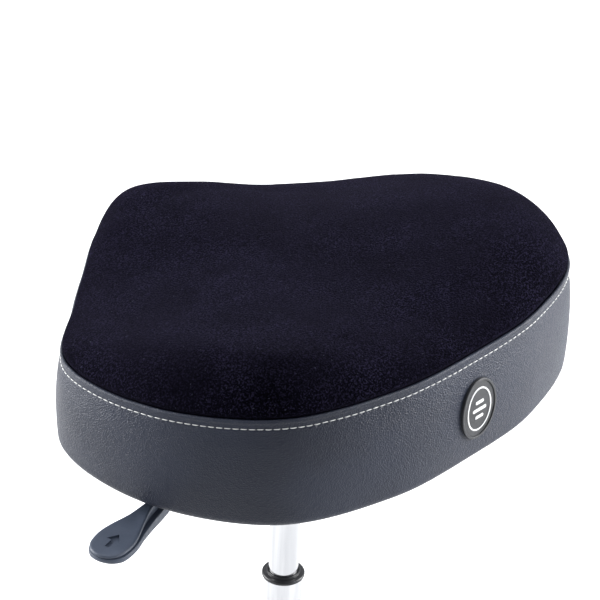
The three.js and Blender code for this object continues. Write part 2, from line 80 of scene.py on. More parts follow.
# ---------- meshes ----------
def link(name, data):
    obj = bpy.data.objects.new(name, data)
    bpy.context.scene.collection.objects.link(obj)
    return obj


def merged(mesh):
    """The mesh for editing, its shared corners merged."""
    bm = bmesh.new()
    bm.from_mesh(mesh)
    bmesh.ops.remove_doubles(bm, verts=bm.verts, dist=0.001)
    return bm


def add_piece(name, mesh, matrix=Matrix(), sharp=35):
    """An object from a mesh drawn in millimetres: shared corners merged, faces out, smooth shaded."""
    bm = merged(mesh)
    bmesh.ops.recalc_face_normals(bm, faces=bm.faces)
    bm.to_mesh(mesh)
    bm.free()
    mesh.transform(TO_FRAME @ matrix)
    mesh.name = name
    mesh.shade_smooth()
    mesh.set_sharp_from_angle(angle=radians(sharp))
    return link(name, mesh)


def raw_mesh(vertices, faces):
    mesh = bpy.data.meshes.new("piece")
    mesh.from_pydata([tuple(v) for v in vertices], [], faces)
    return mesh


def bake(obj, sharp=None):
    """Applies the object's modifiers."""
    graph = bpy.context.evaluated_depsgraph_get()
    graph.update()
    mesh = bpy.data.meshes.new_from_object(obj.evaluated_get(graph))
    obj.modifiers.clear()
    obj.data = mesh
    if sharp:
        mesh.shade_smooth()
        mesh.set_sharp_from_angle(angle=radians(sharp))
    return obj


def combine(base, tools, operation, sharp=35):
    for tool in tools:
        modifier = base.modifiers.new(operation, "BOOLEAN")
        modifier.operation = operation
        modifier.solver = "EXACT"
        modifier.object = tool
    bake(base, sharp)
    for tool in tools:
        bpy.data.objects.remove(tool)
    return base


def filleted(points, steps=5):
    """An outline with each corner that is given as (x, y, radius) rounded."""
    result = []
    for i, (x, y, *radius) in enumerate(points):
        corner = Vector((x, y))
        if not radius:
            result.append(corner)
            continue
        before = Vector(points[i - 1][:2]) - corner
        after = Vector(points[(i + 1) % len(points)][:2]) - corner
        reach = radius[0] / tan(before.angle(after) / 2)
        start = corner + before.normalized() * min(reach, before.length * 0.49)
        end = corner + after.normalized() * min(reach, after.length * 0.49)
        for step in range(steps + 1):
            s = step / steps
            result.append(start * (1 - s) ** 2 + corner * 2 * s * (1 - s) + end * s * s)
    return result


def lathe(name, profile, matrix=Matrix(), segments=96):
    """A body of revolution about Z from (radius, height) points. One that doesn't start on the axis
    closes on itself."""
    points = filleted(profile)
    rows = len(points)
    last = rows if points[0].x > 0 else rows - 1
    vertices, faces = [], []
    for i in range(segments):
        a = 2 * pi * i / segments
        vertices += [(p.x * cos(a), p.x * sin(a), p.y) for p in points]
        j = (i + 1) % segments
        for row in range(last):
            up = (row + 1) % rows
            faces.append((i * rows + row, j * rows + row, j * rows + up, i * rows + up))
    return add_piece(name, raw_mesh(vertices, faces), matrix)


def ellipse(x, y, half_x, half_y, steps=72):
    turns = [2 * pi * i / steps for i in range(steps)]
    return [Vector((x + half_x * cos(a), y + half_y * sin(a))) for a in turns]


def circle(x, y, radius, steps):
    return ellipse(x, y, radius, radius, steps)


def around(point, across, up, radius, sides):
    """A ring of points about a point, in the plane of two directions."""
    return [point + across * p.x + up * p.y for p in circle(0, 0, radius, sides)]


def flat_part(name, loops, low, high, bevel, matrix=Matrix(), sharp=35):
    """A plate between two heights, drawn as closed loops with its holes, with rounded edges."""
    curve = bpy.data.curves.new(name, "CURVE")
    curve.dimensions = "2D"
    curve.fill_mode = "BOTH"
    curve.extrude = (high - low) / 2 - bevel
    curve.bevel_depth = bevel
    curve.bevel_resolution = 2
    curve.offset = -bevel
    for loop in loops:
        spline = curve.splines.new("POLY")
        spline.points.add(len(loop) - 1)
        for point, (x, y) in zip(spline.points, loop):
            point.co = (x, y, 0, 1)
        spline.use_cyclic_u = True
    drawn = bpy.data.objects.new(name, curve)
    mesh = bpy.data.meshes.new_from_object(drawn)
    bpy.data.objects.remove(drawn)
    middle = Matrix.Translation((0, 0, (low + high) / 2))
    return add_piece(name, mesh, matrix @ middle, sharp)


def between(rows, count, start=0):
    """Faces between each loop of points and the next."""
    faces = []
    for row in range(rows - 1):
        low = start + row * count
        for i in range(count):
            j = (i + 1) % count
            faces.append((low + i, low + j, low + count + j, low + count + i))
    return faces


def ends(rows, count, start=0):
    """The two flat ends of a stack of loops."""
    last = start + (rows - 1) * count
    return [tuple(range(start, start + count)), tuple(range(last, last + count))]


def rings(name, loops, matrix=Matrix(), sharp=35, capped=True):
    """A skin through closed loops that have the same number of points, with flat ends."""
    vertices = [p for loop in loops for p in loop]
    size = len(loops), len(loops[0])
    faces = between(*size) + (ends(*size) if capped else [])
    return add_piece(name, raw_mesh(vertices, faces), matrix, sharp)


def dress(obj, finish, body, slot, *nodes):
    """Gives a piece its material and its body, and hides the CAD nodes that it stands for. The slot
    is not used.
    """
    obj.data.materials.clear()
    obj.data.materials.append(finish)
    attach(obj, body)
    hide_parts(*nodes)


def keep_node(node, finish, bevel=0.0, sharp=35):
    """A CAD node that shows as it is, with a procedural finish and, where asked, a small bevel."""
    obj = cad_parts[node]
    if not obj.material_slots:
        obj.data.materials.append(finish)
    for material_slot in obj.material_slots:
        material_slot.material = finish
    obj.data.shade_smooth()
    obj.data.set_sharp_from_angle(angle=radians(sharp))
    if bevel:
        modifier = obj.modifiers.new("edge", "BEVEL")
        modifier.width = bevel * MM
        modifier.segments = 2
        modifier.limit_method = "ANGLE"
        modifier.harden_normals = False


# ---------- materials ----------
class Nodes:
    """A node tree with short ways to add to it. A value given to it is a number or another output."""

    def __init__(self, tree):
        self.tree = tree

    def feed(self, value, socket):
        if isinstance(value, bpy.types.NodeSocket):
            self.tree.links.new(value, socket)
        else:
            socket.default_value = value

    def node(self, kind, inputs=(), **settings):
        made = self.tree.nodes.new(kind)
        for setting, value in settings.items():
            setattr(made, setting, value)
        for socket, value in dict(inputs).items():
            self.feed(value, made.inputs[socket])
        return made

    def math(self, operation, a, b=0.0):
        return self.node("ShaderNodeMath", {0: a, 1: b}, operation=operation).outputs[0]

    def span(self, value, low, high, start=0.0, end=1.0):
        """Maps low..high onto start..end, smoothly and clamped."""
        inputs = {"Value": value, "From Min": low, "From Max": high, "To Min": start, "To Max": end}
        made = self.node("ShaderNodeMapRange", inputs, interpolation_type="SMOOTHSTEP")
        return made.outputs["Result"]

    def mix(self, factor, a, b):
        made = self.node("ShaderNodeMix", {"Factor": factor}, data_type="RGBA")
        for socket, given in zip((s for s in made.inputs if s.type == "RGBA"), (a, b)):
            self.feed(given if isinstance(given, bpy.types.NodeSocket) else (*given, 1), socket)
        return next(s for s in made.outputs if s.type == "RGBA")


class Finish(Nodes):
    """A Principled material with short ways to add procedural detail to it."""

    def __init__(self, name, **sockets):
        self.material = bpy.data.materials.new(name)
        self.material.use_nodes = True
        super().__init__(self.material.node_tree)
        self.shader = self.tree.nodes["Principled BSDF"]
        self.place = self.node("ShaderNodeTexCoord").outputs["Object"]
        self.normal = None
        for socket, value in sockets.items():
            self.shader.inputs[socket.replace("_", " ")].default_value = value

    def noise(self, scale, detail=2.0, stretch=None, roughness=0.5):
        place = self.place
        if stretch:
            mapping = self.node("ShaderNodeMapping", {"Vector": place, "Scale": stretch})
            place = mapping.outputs["Vector"]
        inputs = {"Vector": place, "Scale": scale, "Detail": detail, "Roughness": roughness}
        return self.node("ShaderNodeTexNoise", inputs).outputs["Fac"]

    def cells(self, scale, feature="F1"):
        inputs = {"Vector": self.place, "Scale": scale}
        return self.node("ShaderNodeTexVoronoi", inputs, feature=feature).outputs["Distance"]

    def attribute(self, name):
        return self.node("ShaderNodeAttribute", attribute_name=name).outputs["Fac"]

    def colour(self, value):
        self.feed(value, self.shader.inputs["Base Color"])

    def tone(self, value, low, high, dark, light):
        """Base colour that goes from dark to light as a value goes from low to high."""
        self.colour(self.mix(self.span(value, low, high), dark, light))

    def rough(self, value):
        self.feed(value, self.shader.inputs["Roughness"])

    def bump(self, height, distance, strength=1.0):
        inputs = {"Strength": strength, "Distance": distance * MM, "Height": height}
        if self.normal:
            inputs["Normal"] = self.normal
        self.normal = self.node("ShaderNodeBump", inputs).outputs["Normal"]
        self.feed(self.normal, self.shader.inputs["Normal"])


STITCH_PITCH = 6.6
STITCH_DROP = 10.0  # below the seam


def velour_finish():
    """Short dense pile, near black with a violet cast, with lint-fine specks and brushed patches."""
    f = Finish("velour", Roughness=1.0, Specular_IOR_Level=0.01, Sheen_Weight=0.033,
               Sheen_Roughness=0.5, Sheen_Tint=(0.5, 0.47, 0.78, 1))
    brushed = f.noise(14, 3)
    pile = f.noise(620, 2, roughness=0.7)
    fibre = f.noise(2200, 1)
    base = f.mix(f.span(brushed, 0.35, 0.65), (0.0004, 0.0003, 0.0012), (0.0014, 0.0012, 0.003))
    mottled = f.noise(20, 4, roughness=0.55)
    lit = f.mix(f.span(mottled, 0.32, 0.68), (0.007, 0.006, 0.0135), (0.0145, 0.0125, 0.0275))
    tufts = f.mix(f.span(pile, 0.48, 0.64), base, lit)
    lint = f.span(f.noise(420, 1), 0.72, 0.78)
    f.colour(f.mix(lint, tufts, (0.024, 0.024, 0.037)))
    f.bump(pile, 1.4, 1.0)
    f.bump(fibre, 0.4, 0.6)
    return f.material


def vinyl_finish():
    """Black semi-gloss vinyl with an embossed pebble grain. The stitch line pulls small hollows."""
    f = Finish("vinyl", Specular_IOR_Level=0.34)
    tone = f.noise(9, 2)
    f.tone(tone, 0.35, 0.65, (0.0135, 0.0168, 0.03), (0.02, 0.025, 0.043))
    pebble = f.cells(500, "DISTANCE_TO_EDGE")
    creases = f.cells(260, "F1")
    fine = f.noise(1300, 2)
    f.rough(f.math("ADD", f.span(pebble, 0.0, 0.25, 0.46, 0.34), f.span(tone, 0.3, 0.7, -0.02, 0.03)))
    f.bump(f.span(pebble, 0.0, 0.32), 0.3, 0.8)
    f.bump(creases, 0.5, 0.4)
    f.bump(fine, 0.1, 0.5)
    along = f.attribute("along_seam")
    drop = f.attribute("below_seam")
    away = f.math("ABSOLUTE", f.math("SUBTRACT", drop, STITCH_DROP * MM))
    line = f.span(away, 0.0, 0.0035, 1.0, 0.0)
    beat = f.math("COSINE", f.math("MULTIPLY", along, 2 * pi / (STITCH_PITCH * MM)))
    f.bump(f.math("MULTIPLY", line, beat), 0.22, 0.8)
    return f.material


def foam_finish():
    f = Finish("foam", Roughness=1.0)
    pores = f.cells(700)
    f.tone(pores, 0.1, 0.6, (0.62, 0.55, 0.36), (0.75, 0.68, 0.47))
    f.bump(pores, 0.5, 0.6)
    return f.material


def plywood_finish():
    f = Finish("plywood", Roughness=0.75)
    grain = f.noise(40, 4, stretch=(1, 14, 4))
    f.tone(grain, 0.35, 0.65, (0.36, 0.22, 0.11), (0.52, 0.36, 0.2))
    f.bump(grain, 0.2, 0.4)
    return f.material


def dust_cloth_finish():
    """Thin spun-bonded black cloth with its diamond calender marks."""
    f = Finish("dust_cloth", Roughness=0.95, Sheen_Weight=0.2)
    fibres = f.noise(700, 4, roughness=0.75)
    points = f.cells(450)
    f.tone(fibres, 0.4, 0.62, (0.006, 0.006, 0.007), (0.02, 0.02, 0.022))
    f.bump(f.span(points, 0.1, 0.45), 0.15, 0.8)
    f.bump(fibres, 0.2, 0.5)
    return f.material


def chrome_finish():
    """Bright chrome with faint polishing lines along the length."""
    f = Finish("chrome", Metallic=1.0)
    lines = f.noise(700, 3, stretch=(1, 1, 0.04))
    haze = f.noise(35, 3)
    streaks = f.noise(110, 3, stretch=(1, 1, 0.06))
    f.tone(streaks, 0.35, 0.65, (0.66, 0.665, 0.68), (0.8, 0.805, 0.815))
    f.rough(f.math("ADD", f.span(haze, 0.35, 0.7, 0.05, 0.11), f.span(lines, 0.4, 0.7, 0.0, 0.05)))
    f.bump(lines, 0.008, 0.5)
    return f.material


def thread_finish():
    """White polyester thread, its twist showing."""
    f = Finish("thread", Roughness=0.6, Sheen_Weight=0.2)
    twist = f.noise(1800, 1, stretch=(1, 1, 2.5))
    f.tone(twist, 0.35, 0.65, (0.62, 0.62, 0.6), (0.86, 0.86, 0.84))
    f.bump(twist, 0.15, 0.7)
    return f.material


def print_finish():
    f = Finish("white_print", Specular_IOR_Level=0.4)
    cloud = f.noise(160, 3)
    f.tone(cloud, 0.35, 0.65, (0.8, 0.8, 0.8), (0.9, 0.9, 0.9))
    f.rough(f.span(cloud, 0.3, 0.7, 0.4, 0.5))
    return f.material


def hard_finish(name, cloud, dark, light, worn, rough, grain, **sockets):
    """Clouded colour, brighter at rubbed edges where a worn colour is given, with uneven roughness
    and a fine grain."""
    f = Finish(name, **sockets)
    scale, detail, low, high = cloud
    base = f.mix(f.span(f.noise(scale, detail), low, high), dark, light)
    if worn:
        point = f.node("ShaderNodeNewGeometry").outputs["Pointiness"]
        rubbed = f.math("MULTIPLY", f.span(point, 0.53, 0.62), f.span(f.noise(90, 3), 0.45, 0.65))
        base = f.mix(rubbed, base, worn)
    f.colour(base)
    scale, detail, low, high = rough
    f.rough(f.span(f.noise(scale, detail), 0.3, 0.7, low, high))
    scale, detail, depth = grain
    f.bump(f.noise(scale, detail), depth, 0.6)
    return f.material


def plastic_finish(name, dark, light, low, high, grain):
    """Moulded black plastic with a fine spark-eroded texture."""
    return hard_finish(name, (45, 3, 0.35, 0.65), dark, light, (0.06, 0.065, 0.075),
                       (250, 3, low, high), (grain, 2, 0.05), Specular_IOR_Level=0.5)


def floor_finish():
    f = Finish("floor", Roughness=0.9, Specular_IOR_Level=0.1)
    cloud = f.noise(0.8, 2)
    f.colour(f.mix(cloud, (0.64, 0.64, 0.645), (0.68, 0.68, 0.68)))
    f.shader.inputs["Emission Color"].default_value = (1, 1, 1, 1)
    seen = f.node("ShaderNodeLightPath").outputs["Is Camera Ray"]
    f.feed(f.math("MULTIPLY", seen, 0.6), f.shader.inputs["Emission Strength"])
    return f.material


VELOUR = velour_finish()
VINYL = vinyl_finish()
FOAM = foam_finish()
PLYWOOD = plywood_finish()
DUST_CLOTH = dust_cloth_finish()
BLACK_STEEL = hard_finish(
    "black_steel", (60, 3, 0.35, 0.65), (0.011, 0.011, 0.012), (0.018, 0.018, 0.02),
    (0.07, 0.07, 0.075), (150, 3, 0.36, 0.5), (900, 1, 0.08),
    Metallic=0.0, Specular_IOR_Level=0.5, IOR=1.5)
ZINC = hard_finish(
    "zinc_steel", (120, 4, 0.3, 0.7), (0.46, 0.47, 0.48), (0.62, 0.63, 0.64), None,
    (500, 3, 0.25, 0.42), (1400, 2, 0.03), Metallic=1.0)
CHROME = chrome_finish()
LEVER_PLASTIC = plastic_finish(
    "black_plastic", (0.046, 0.059, 0.088), (0.058, 0.072, 0.104), 0.42, 0.55, 1500)
RING_PLASTIC = plastic_finish(
    "ring_plastic", (0.008, 0.008, 0.01), (0.013, 0.013, 0.015), 0.28, 0.38, 1500)
BADGE_PLASTIC = plastic_finish(
    "badge_plastic", (0.02, 0.021, 0.024), (0.028, 0.029, 0.033), 0.35, 0.5, 1800)
RUBBER = hard_finish(
    "rubber", (70, 4, 0.45, 0.75), (0.011, 0.011, 0.011), (0.03, 0.029, 0.028), None,
    (400, 2, 0.72, 0.9), (1100, 2, 0.1), Specular_IOR_Level=0.3)
THREAD = thread_finish()
PRINT = print_finish()


# ---------- seat ----------
SEAT_BOTTOM = heights("side_band")[0]
# Half of the outline from the nose round the sitter's left side to the rear: x, y, and how far the
# padded rim rises above the seam there.
HALF_OUTLINE = [
    (0, -227, 35),
    (63, -194, 28),
    (112, -155, 17),
    (166, -111, 11),
    (239, -42, 17),
    (244, 65, 33),
    (190, 160, 34),
    (94, 201, 24),
    (0, 208, 18),
]
MIRRORED = [(-x, y, rise) for x, y, rise in HALF_OUTLINE[-2:0:-1]]
CONTROL = np.array(HALF_OUTLINE + MIRRORED, float)
SEAM_HEIGHT = 93.5  # above the seat's bottom, at the column
SEAM_SLOPE = 0.074
SEAM_INSET = 5
BOTTOM_ROUND = 10
SHOULDER = 41
CROWN_HEIGHT = 117.5
HEM = 36
PATCH_STEPS = 112  # along a side of the square patch that the crown is drawn on
SWELL_CAP = 6.0  # the most that the padding moves as it fills out
BAND_BULGE = 1.8  # how far the band stands out halfway up before it is filled
FOAM_INSET = 7.5
STAPLE_PITCH = 26
LEVER_ROOM = 20  # no staples within this distance of the lever's middle line


def spline(rows, place):
    """Rows of a closed table at places between them, on a smooth curve."""
    i = np.floor(place).astype(int)
    s = (place - i)[..., None]
    before, here, after, far = (rows[(i + k) % len(rows)] for k in (-1, 0, 1, 2))
    curve = 2 * before - 5 * here + 4 * after - far + s * (3 * (here - after) + far - before)
    return here + 0.5 * s * (after - before + s * curve)


def outline(turn):
    """Outline x, y and rim rise at a turn, from 0 at the nose round to 1."""
    return spline(CONTROL, np.mod(turn, 1.0) * len(CONTROL))


def seam_height(y):
    return SEAM_HEIGHT + SEAM_SLOPE * y


def column_turns(steps):
    """Turns of the outline's columns, spaced so that they meet the square patch's edge."""
    quarter = np.arcsin(np.linspace(-1, 1, steps + 1)[:-1] / sqrt(2))
    return np.concatenate([quarter + k * pi / 2 for k in range(4)]) / (2 * pi)


class Rim:
    """The outline's columns, and points at an inset from it and a height above the seat's bottom."""

    def __init__(self, turns):
        point = outline(turns)
        self.x, self.y, self.rise = point[:, 0], point[:, 1], point[:, 2]
        self.radius = np.hypot(self.x, self.y)
        self.seam = seam_height(self.y)

    def loop(self, inset, height):
        k = 1 - inset / self.radius
        return np.stack([self.x * k, self.y * k, SEAT_BOTTOM + height + 0 * self.x], -1)

    def side(self, height, extra=0.0):
        """The side band at a height: it leans in a little towards the seam."""
        part = np.clip((height - BOTTOM_ROUND) / (self.seam - BOTTOM_ROUND), 0, 1)
        return self.loop(SEAM_INSET * part**2 + extra * np.sin(pi * part), height)

    def bottom_edge(self, steps, thick=0.0):
        r = BOTTOM_ROUND - thick
        turns = [(r * sin(a), r * cos(a)) for a in np.linspace(0, pi / 2, steps)]
        return [self.loop(BOTTOM_ROUND - x, BOTTOM_ROUND - z) for x, z in turns]

    def shoulder(self, angle, thick=0.0):
        inset = SEAM_INSET + thick + (SHOULDER - thick) * (1 - cos(angle))
        return self.loop(inset, self.seam + (self.rise - thick) * sin(angle))


def crown_patch(steps, height_of):
    """A square grid bent into the area inside the shoulder, as vertices and faces."""
    a, b = np.meshgrid(np.linspace(-1, 1, steps + 1), np.linspace(-1, 1, steps + 1), indexing="ij")
    u, v = a * np.sqrt(1 - b * b / 2), b * np.sqrt(1 - a * a / 2)
    k = np.hypot(u, v).ravel()
    rim = Rim(np.arctan2(v, u).ravel() / (2 * pi))
    inset = rim.radius - (rim.radius - SEAM_INSET - SHOULDER) * k
    vertices = rim.loop(inset, height_of(rim, k))
    side = steps + 1
    faces = []
    for i in range(steps):
        for j in range(steps):
            corner = i * side + j
            faces.append((corner, corner + side, corner + side + 1, corner + 1))
    return vertices, faces


def crown_height(rim, k, thick=0.0):
    return CROWN_HEIGHT + (rim.seam + rim.rise - CROWN_HEIGHT) * k * k - thick


def skin(loops, patches=()):
    """One mesh through loops of columns, joined to the patches that share their edge points."""
    vertices = [tuple(p) for loop in loops for p in loop]
    faces = between(len(loops), len(loops[0]))
    for points, quads in patches:
        start = len(vertices)
        vertices += [tuple(p) for p in points]
        faces += [tuple(start + i for i in quad) for quad in quads]
    return raw_mesh(vertices, faces)


def relax(mesh, free, rounds):
    """Evens out the surface at the points that free() picks."""
    bm = merged(mesh)
    picked = [v for v in bm.verts if free(v.co)]
    for _ in range(rounds):
        bmesh.ops.smooth_vert(
            bm, verts=picked, factor=0.5, use_axis_x=True, use_axis_y=True, use_axis_z=True
        )
    bm.to_mesh(mesh)
    bm.free()
    return mesh


def above_seam(point, margin):
    return point.z - SEAT_BOTTOM - seam_height(point.y) > margin


def filling_mesh(steps, thick):
    """A closed crowned cushion inside the cover: its thickness in from the outer shape."""
    rim = Rim(column_turns(steps))
    loops = [rim.loop(SEAM_INSET + SHOULDER, 0)] + rim.bottom_edge(5, thick)
    reach = rim.seam - BOTTOM_ROUND
    loops += [rim.side(BOTTOM_ROUND + s * reach) - outward(rim) * thick for s in (0.25, 0.5, 0.75, 1)]
    loops += [rim.shoulder(a, thick) for a in np.linspace(0, pi / 2, 9)[1:]]
    top = crown_patch(steps, lambda r, k: crown_height(r, k, thick))
    low = crown_patch(steps, lambda r, k: 0 * k)
    return relax(skin(loops, (top, low)), lambda p: above_seam(p, 6), 6)


def outward(rim):
    flat = np.stack([rim.x, rim.y, 0 * rim.x], -1)
    return flat / rim.radius[:, None]


def evened(values, pairs):
    """Moves each row of values halfway to the mean of its neighbours."""
    total = np.zeros_like(values)
    count = np.zeros((len(values), 1))
    for a, b in (pairs.T, pairs.T[::-1]):
        np.add.at(total, a, values[b])
        np.add.at(count, a, 1)
    return (values + total / count) / 2


def swell():
    """Cloth simulation of the filled cushion: its seam and its underside hold, and the rest is
    pressed out from inside. Returns a function that moves points as the padding moved."""
    cushion = add_piece("simulated", filling_mesh(40, 0.0))
    remesh = cushion.modifiers.new("remesh", "REMESH")
    remesh.mode = "VOXEL"
    remesh.voxel_size = 6 * MM
    bake(cushion)
    start = np.array([v.co for v in cushion.data.vertices])
    pairs = np.array([tuple(e.vertices) for e in cushion.data.edges])
    held = cushion.vertex_groups.new(name="held")
    for i, point in enumerate(start):
        x, y, z = local(Vector(point))
        height = z - SEAT_BOTTOM
        if height < 5 or abs(height - seam_height(y)) < 5 and hypot(x, y) > 150:
            held.add([i], 1.0, "REPLACE")
    cloth = cushion.modifiers.new("cloth", "CLOTH")
    cloth.settings.vertex_group_mass = "held"
    cloth.settings.use_pressure = True
    cloth.settings.uniform_pressure_force = 8
    cloth.settings.effector_weights.gravity = 0
    scene = bpy.context.scene
    for step in range(1, 21):
        scene.frame_set(step)
    graph = bpy.context.evaluated_depsgraph_get()
    end = np.array([v.co for v in cushion.evaluated_get(graph).data.vertices])
    scene.frame_set(1)
    bpy.data.objects.remove(cushion)
    moved = (end - start) / MM
    for _ in range(8):
        moved = evened(moved, pairs)
    length = np.linalg.norm(moved, axis=1, keepdims=True)
    moved *= SWELL_CAP * np.tanh(length / SWELL_CAP) / np.maximum(length, 1e-9)
    tree = KDTree(len(start))
    for i, point in enumerate(start):
        tree.insert(local(Vector(point)), i)
    tree.balance()

    def field(point):
        near = tree.find_n(point, 6)
        weights = [1 / (distance + 1.0) ** 2 for _, _, distance in near]
        total = sum((Vector(moved[i]) * w for (_, i, _), w in zip(near, weights)), Vector())
        return total / sum(weights)

    return field


FIELD = swell()


def settle(mesh):
    for vertex in mesh.vertices:
        vertex.co += FIELD(vertex.co)
    return mesh


def tag(mesh, columns):
    """Stores how far along and how far below the seam each point of a structured skin is."""
    along = mesh.attributes.new("along_seam", "FLOAT", "POINT")
    below = mesh.attributes.new("below_seam", "FLOAT", "POINT")
    count = len(columns)
    for i, vertex in enumerate(mesh.vertices):
        along.data[i].value = columns[i % count] * MM
        height = vertex.co.z - SEAT_BOTTOM
        below.data[i].value = (seam_height(vertex.co.y) - height) * MM


def walked(line):
    """Length along a closed line up to each of its points, and at last all the way round."""
    steps = np.linalg.norm(np.roll(line, -1, axis=0) - line, axis=1)
    return np.concatenate([[0], np.cumsum(steps)])


def at_length(line, lengths, length):
    """The point of a closed line at a length along it."""
    closed = np.vstack([line, line[:1]])
    return Vector([np.interp(length, lengths, closed[:, k]) for k in range(3)])


def seam_lengths(rim):
    """Length along the seam up to each column, scaled so that a whole number of stitches fits."""
    lengths = walked(rim.loop(SEAM_INSET, rim.seam))
    total = lengths[-1]
    return lengths[:-1] * (round(total / STITCH_PITCH) * STITCH_PITCH / total)


def waves(rim, layer, size):
    """A random wave for each column, about as long as a size."""
    return np.array([noise.noise(Vector((x, y, layer)) / size) for x, y in zip(rim.x, rim.y)])


def add_side_band():
    rim = Rim(column_turns(PATCH_STEPS))
    gather = waves(rim, 3.0, 14)  # where the vinyl turns under the board
    hem = ((HEM, 1.3), (30, 1.0), (24, 0.6), (18, 0.2))  # inset and how much it gathers there
    loops = [rim.loop(inset, 0.2 + gather * lift) for inset, lift in hem]
    loops += rim.bottom_edge(8)
    ripple = waves(rim, 9.0, 22)
    reach = rim.seam - BOTTOM_ROUND
    for part in (0.08, 0.16, 0.25, 0.34, 0.43, 0.52, 0.61, 0.69, 0.76):
        loops.append(rim.side(BOTTOM_ROUND + part * reach, -BAND_BULGE))
    for drop in (14.5, 12.6, 11.4, 10.7, 10.0, 9.3, 8.6, 7.6, 6.5):
        pulled = 0.55 * exp(-(((drop - STITCH_DROP) / 1.0) ** 2))
        loop = rim.side(rim.seam - drop)
        loops.append(loop - outward(rim) * (pulled + 0.35 * ripple * exp(-drop / 12))[:, None])
    # The folded edge that the velour comes out from behind, as inset and height from the seam.
    fold = [(3.8, -5.2), (3.5, -4.2), (3.4, -3.2), (3.7, -2.3), (4.5, -1.7), (5.4, -1.65),
            (6.3, -2.1), (6.9, -3.1), (7.1, -4.6), (7.2, -6.2)]
    for inset, height in fold:
        loops.append(rim.loop(inset + 0.3 * ripple, rim.seam + height))
    mesh = skin(loops)
    tag(mesh, seam_lengths(rim))
    band = add_piece("side_band_cover", settle(mesh), sharp=60)
    thicken(band, 1.0)
    dress(band, VINYL, "seat", "vinyl", "side_band")
    return band


def thicken(obj, thick, offset=-1):
    """Gives a cover its thickness: inwards, or outwards with an offset of 1."""
    modifier = obj.modifiers.new("thickness", "SOLIDIFY")
    modifier.thickness = thick * MM
    modifier.offset = offset
    bake(obj, 60)


def add_velour_top():
    rim = Rim(column_turns(PATCH_STEPS))
    tucked = ((8.6, -6.2), (8.4, -4.6), (8.1, -3.2), (7.6, -2.0), (6.9, -1.0), (6.2, 0.0), (5.7, 1.0))
    loops = [rim.loop(inset, rim.seam + height) for inset, height in tucked]
    first = asin(4.5 / rim.rise.max())
    loops += [rim.shoulder(a) for a in np.linspace(first, pi / 2, 18)]
    patch = crown_patch(PATCH_STEPS, crown_height)
    mesh = relax(skin(loops, (patch,)), lambda p: above_seam(p, 5), 40)
    top = add_piece("velour_cushion", settle(mesh), sharp=80)
    thicken(top, 1.4)
    dress(top, VELOUR, "seat", "velour", "velour_top")


def add_foam():
    board_top = heights("seat_board")[1] - SEAT_BOTTOM
    mesh = filling_mesh(48, FOAM_INSET)
    for vertex in mesh.vertices:
        vertex.co.z = max(vertex.co.z, SEAT_BOTTOM + board_top + 0.4)
    core = add_piece("foam_filling", mesh, sharp=60)
    dress(core, FOAM, "seat", "foam", "foam_core")


def surface_of(obj):
    """Where a ray meets an object, in millimetres about the column."""
    tree = BVHTree.FromObject(obj, bpy.context.evaluated_depsgraph_get())

    def hit(origin, direction):
        point, normal, _, _ = tree.ray_cast(TO_FRAME @ Vector(origin), Vector(direction))
        return local(point), normal

    return hit


def wires(name, paths, sides, sharp=35):
    """One mesh of short wires. A path is a list of rings: point, across, up and radius."""
    vertices, faces = [], []
    for path in paths:
        start = len(vertices)
        for ring in path:
            vertices += around(*ring, sides)
        faces += between(len(path), sides, start) + ends(len(path), sides, start)
    return add_piece(name, raw_mesh(vertices, faces), sharp=sharp)


def add_stitches(band):
    """White top-stitching round the band: one short thread for each stitch, its ends in the vinyl."""
    fine = Rim(np.linspace(0, 1, 2400, endpoint=False))
    line = fine.side(fine.seam - STITCH_DROP)
    out = outward(fine)
    lengths = walked(fine.loop(SEAM_INSET, fine.seam))
    count = round(lengths[-1] / STITCH_PITCH)
    radius, half = 0.43, 2.8
    hit = surface_of(band)

    def on_band(length):
        length = length % lengths[-1]
        away = at_length(out, lengths, length)
        return hit(at_length(line, lengths, length) + away * 12, -away)

    threads = []
    for stitch in range(count):
        middle = (stitch + 0.5) * lengths[-1] / count
        previous, _ = on_band(middle - half - 0.3)
        thread = []
        for s in np.linspace(-1, 1, 9):
            point, normal = on_band(middle + half * s)
            across = (point - previous).cross(normal).normalized()
            previous = point
            plump = 1 - s**4
            middle_point = point + normal * (0.62 * plump - 0.15)
            thread.append((middle_point, across, normal, radius * sqrt(max(0.02, plump))))
        threads.append(thread)
    stitches = wires("top_stitching", threads, 8, 80)
    dress(stitches, THREAD, "seat", "thread")


def add_dust_cover():
    """Black cloth under the board, drawn a little loose, with its staples round the hem."""
    rim = Rim(column_turns(40))
    inset = HEM - 6
    height = heights("dust_cover")[0] - SEAT_BOTTOM - 1.1
    rows = []
    for k in (1.0, 0.985, 0.96, 0.93, 0.88, 0.8, 0.7, 0.6, 0.5, 0.4, 0.3, 0.2, 0.1):
        rows.append(rim.loop(rim.radius - (rim.radius - inset) * k, height))
    count = len(rows[0])
    vertices = [tuple(p) for row in rows for p in row] + [(0, 0, rows[0][0][2])]
    last = (len(rows) - 1) * count
    faces = between(len(rows), count)
    faces += [(last + i, last + (i + 1) % count, len(vertices) - 1) for i in range(count)]
    wrinkled = []
    for x, y, z in vertices:
        slack = 0.5 * noise.noise(Vector((x, y * 1.6, 1.0)) / 26)
        wrinkled.append((x, y, z + slack * min(1.0, hypot(x, y) / 130)))
    cover = add_piece("dust_cloth", raw_mesh(wrinkled, faces), sharp=60)
    cover.modifiers.new("smooth", "SUBSURF").levels = 1
    thicken(cover, 0.4, 1)
    dress(cover, DUST_CLOTH, "seat", "dust_cloth", "dust_cover")
    add_staples(rim.loop(inset + 6, height))


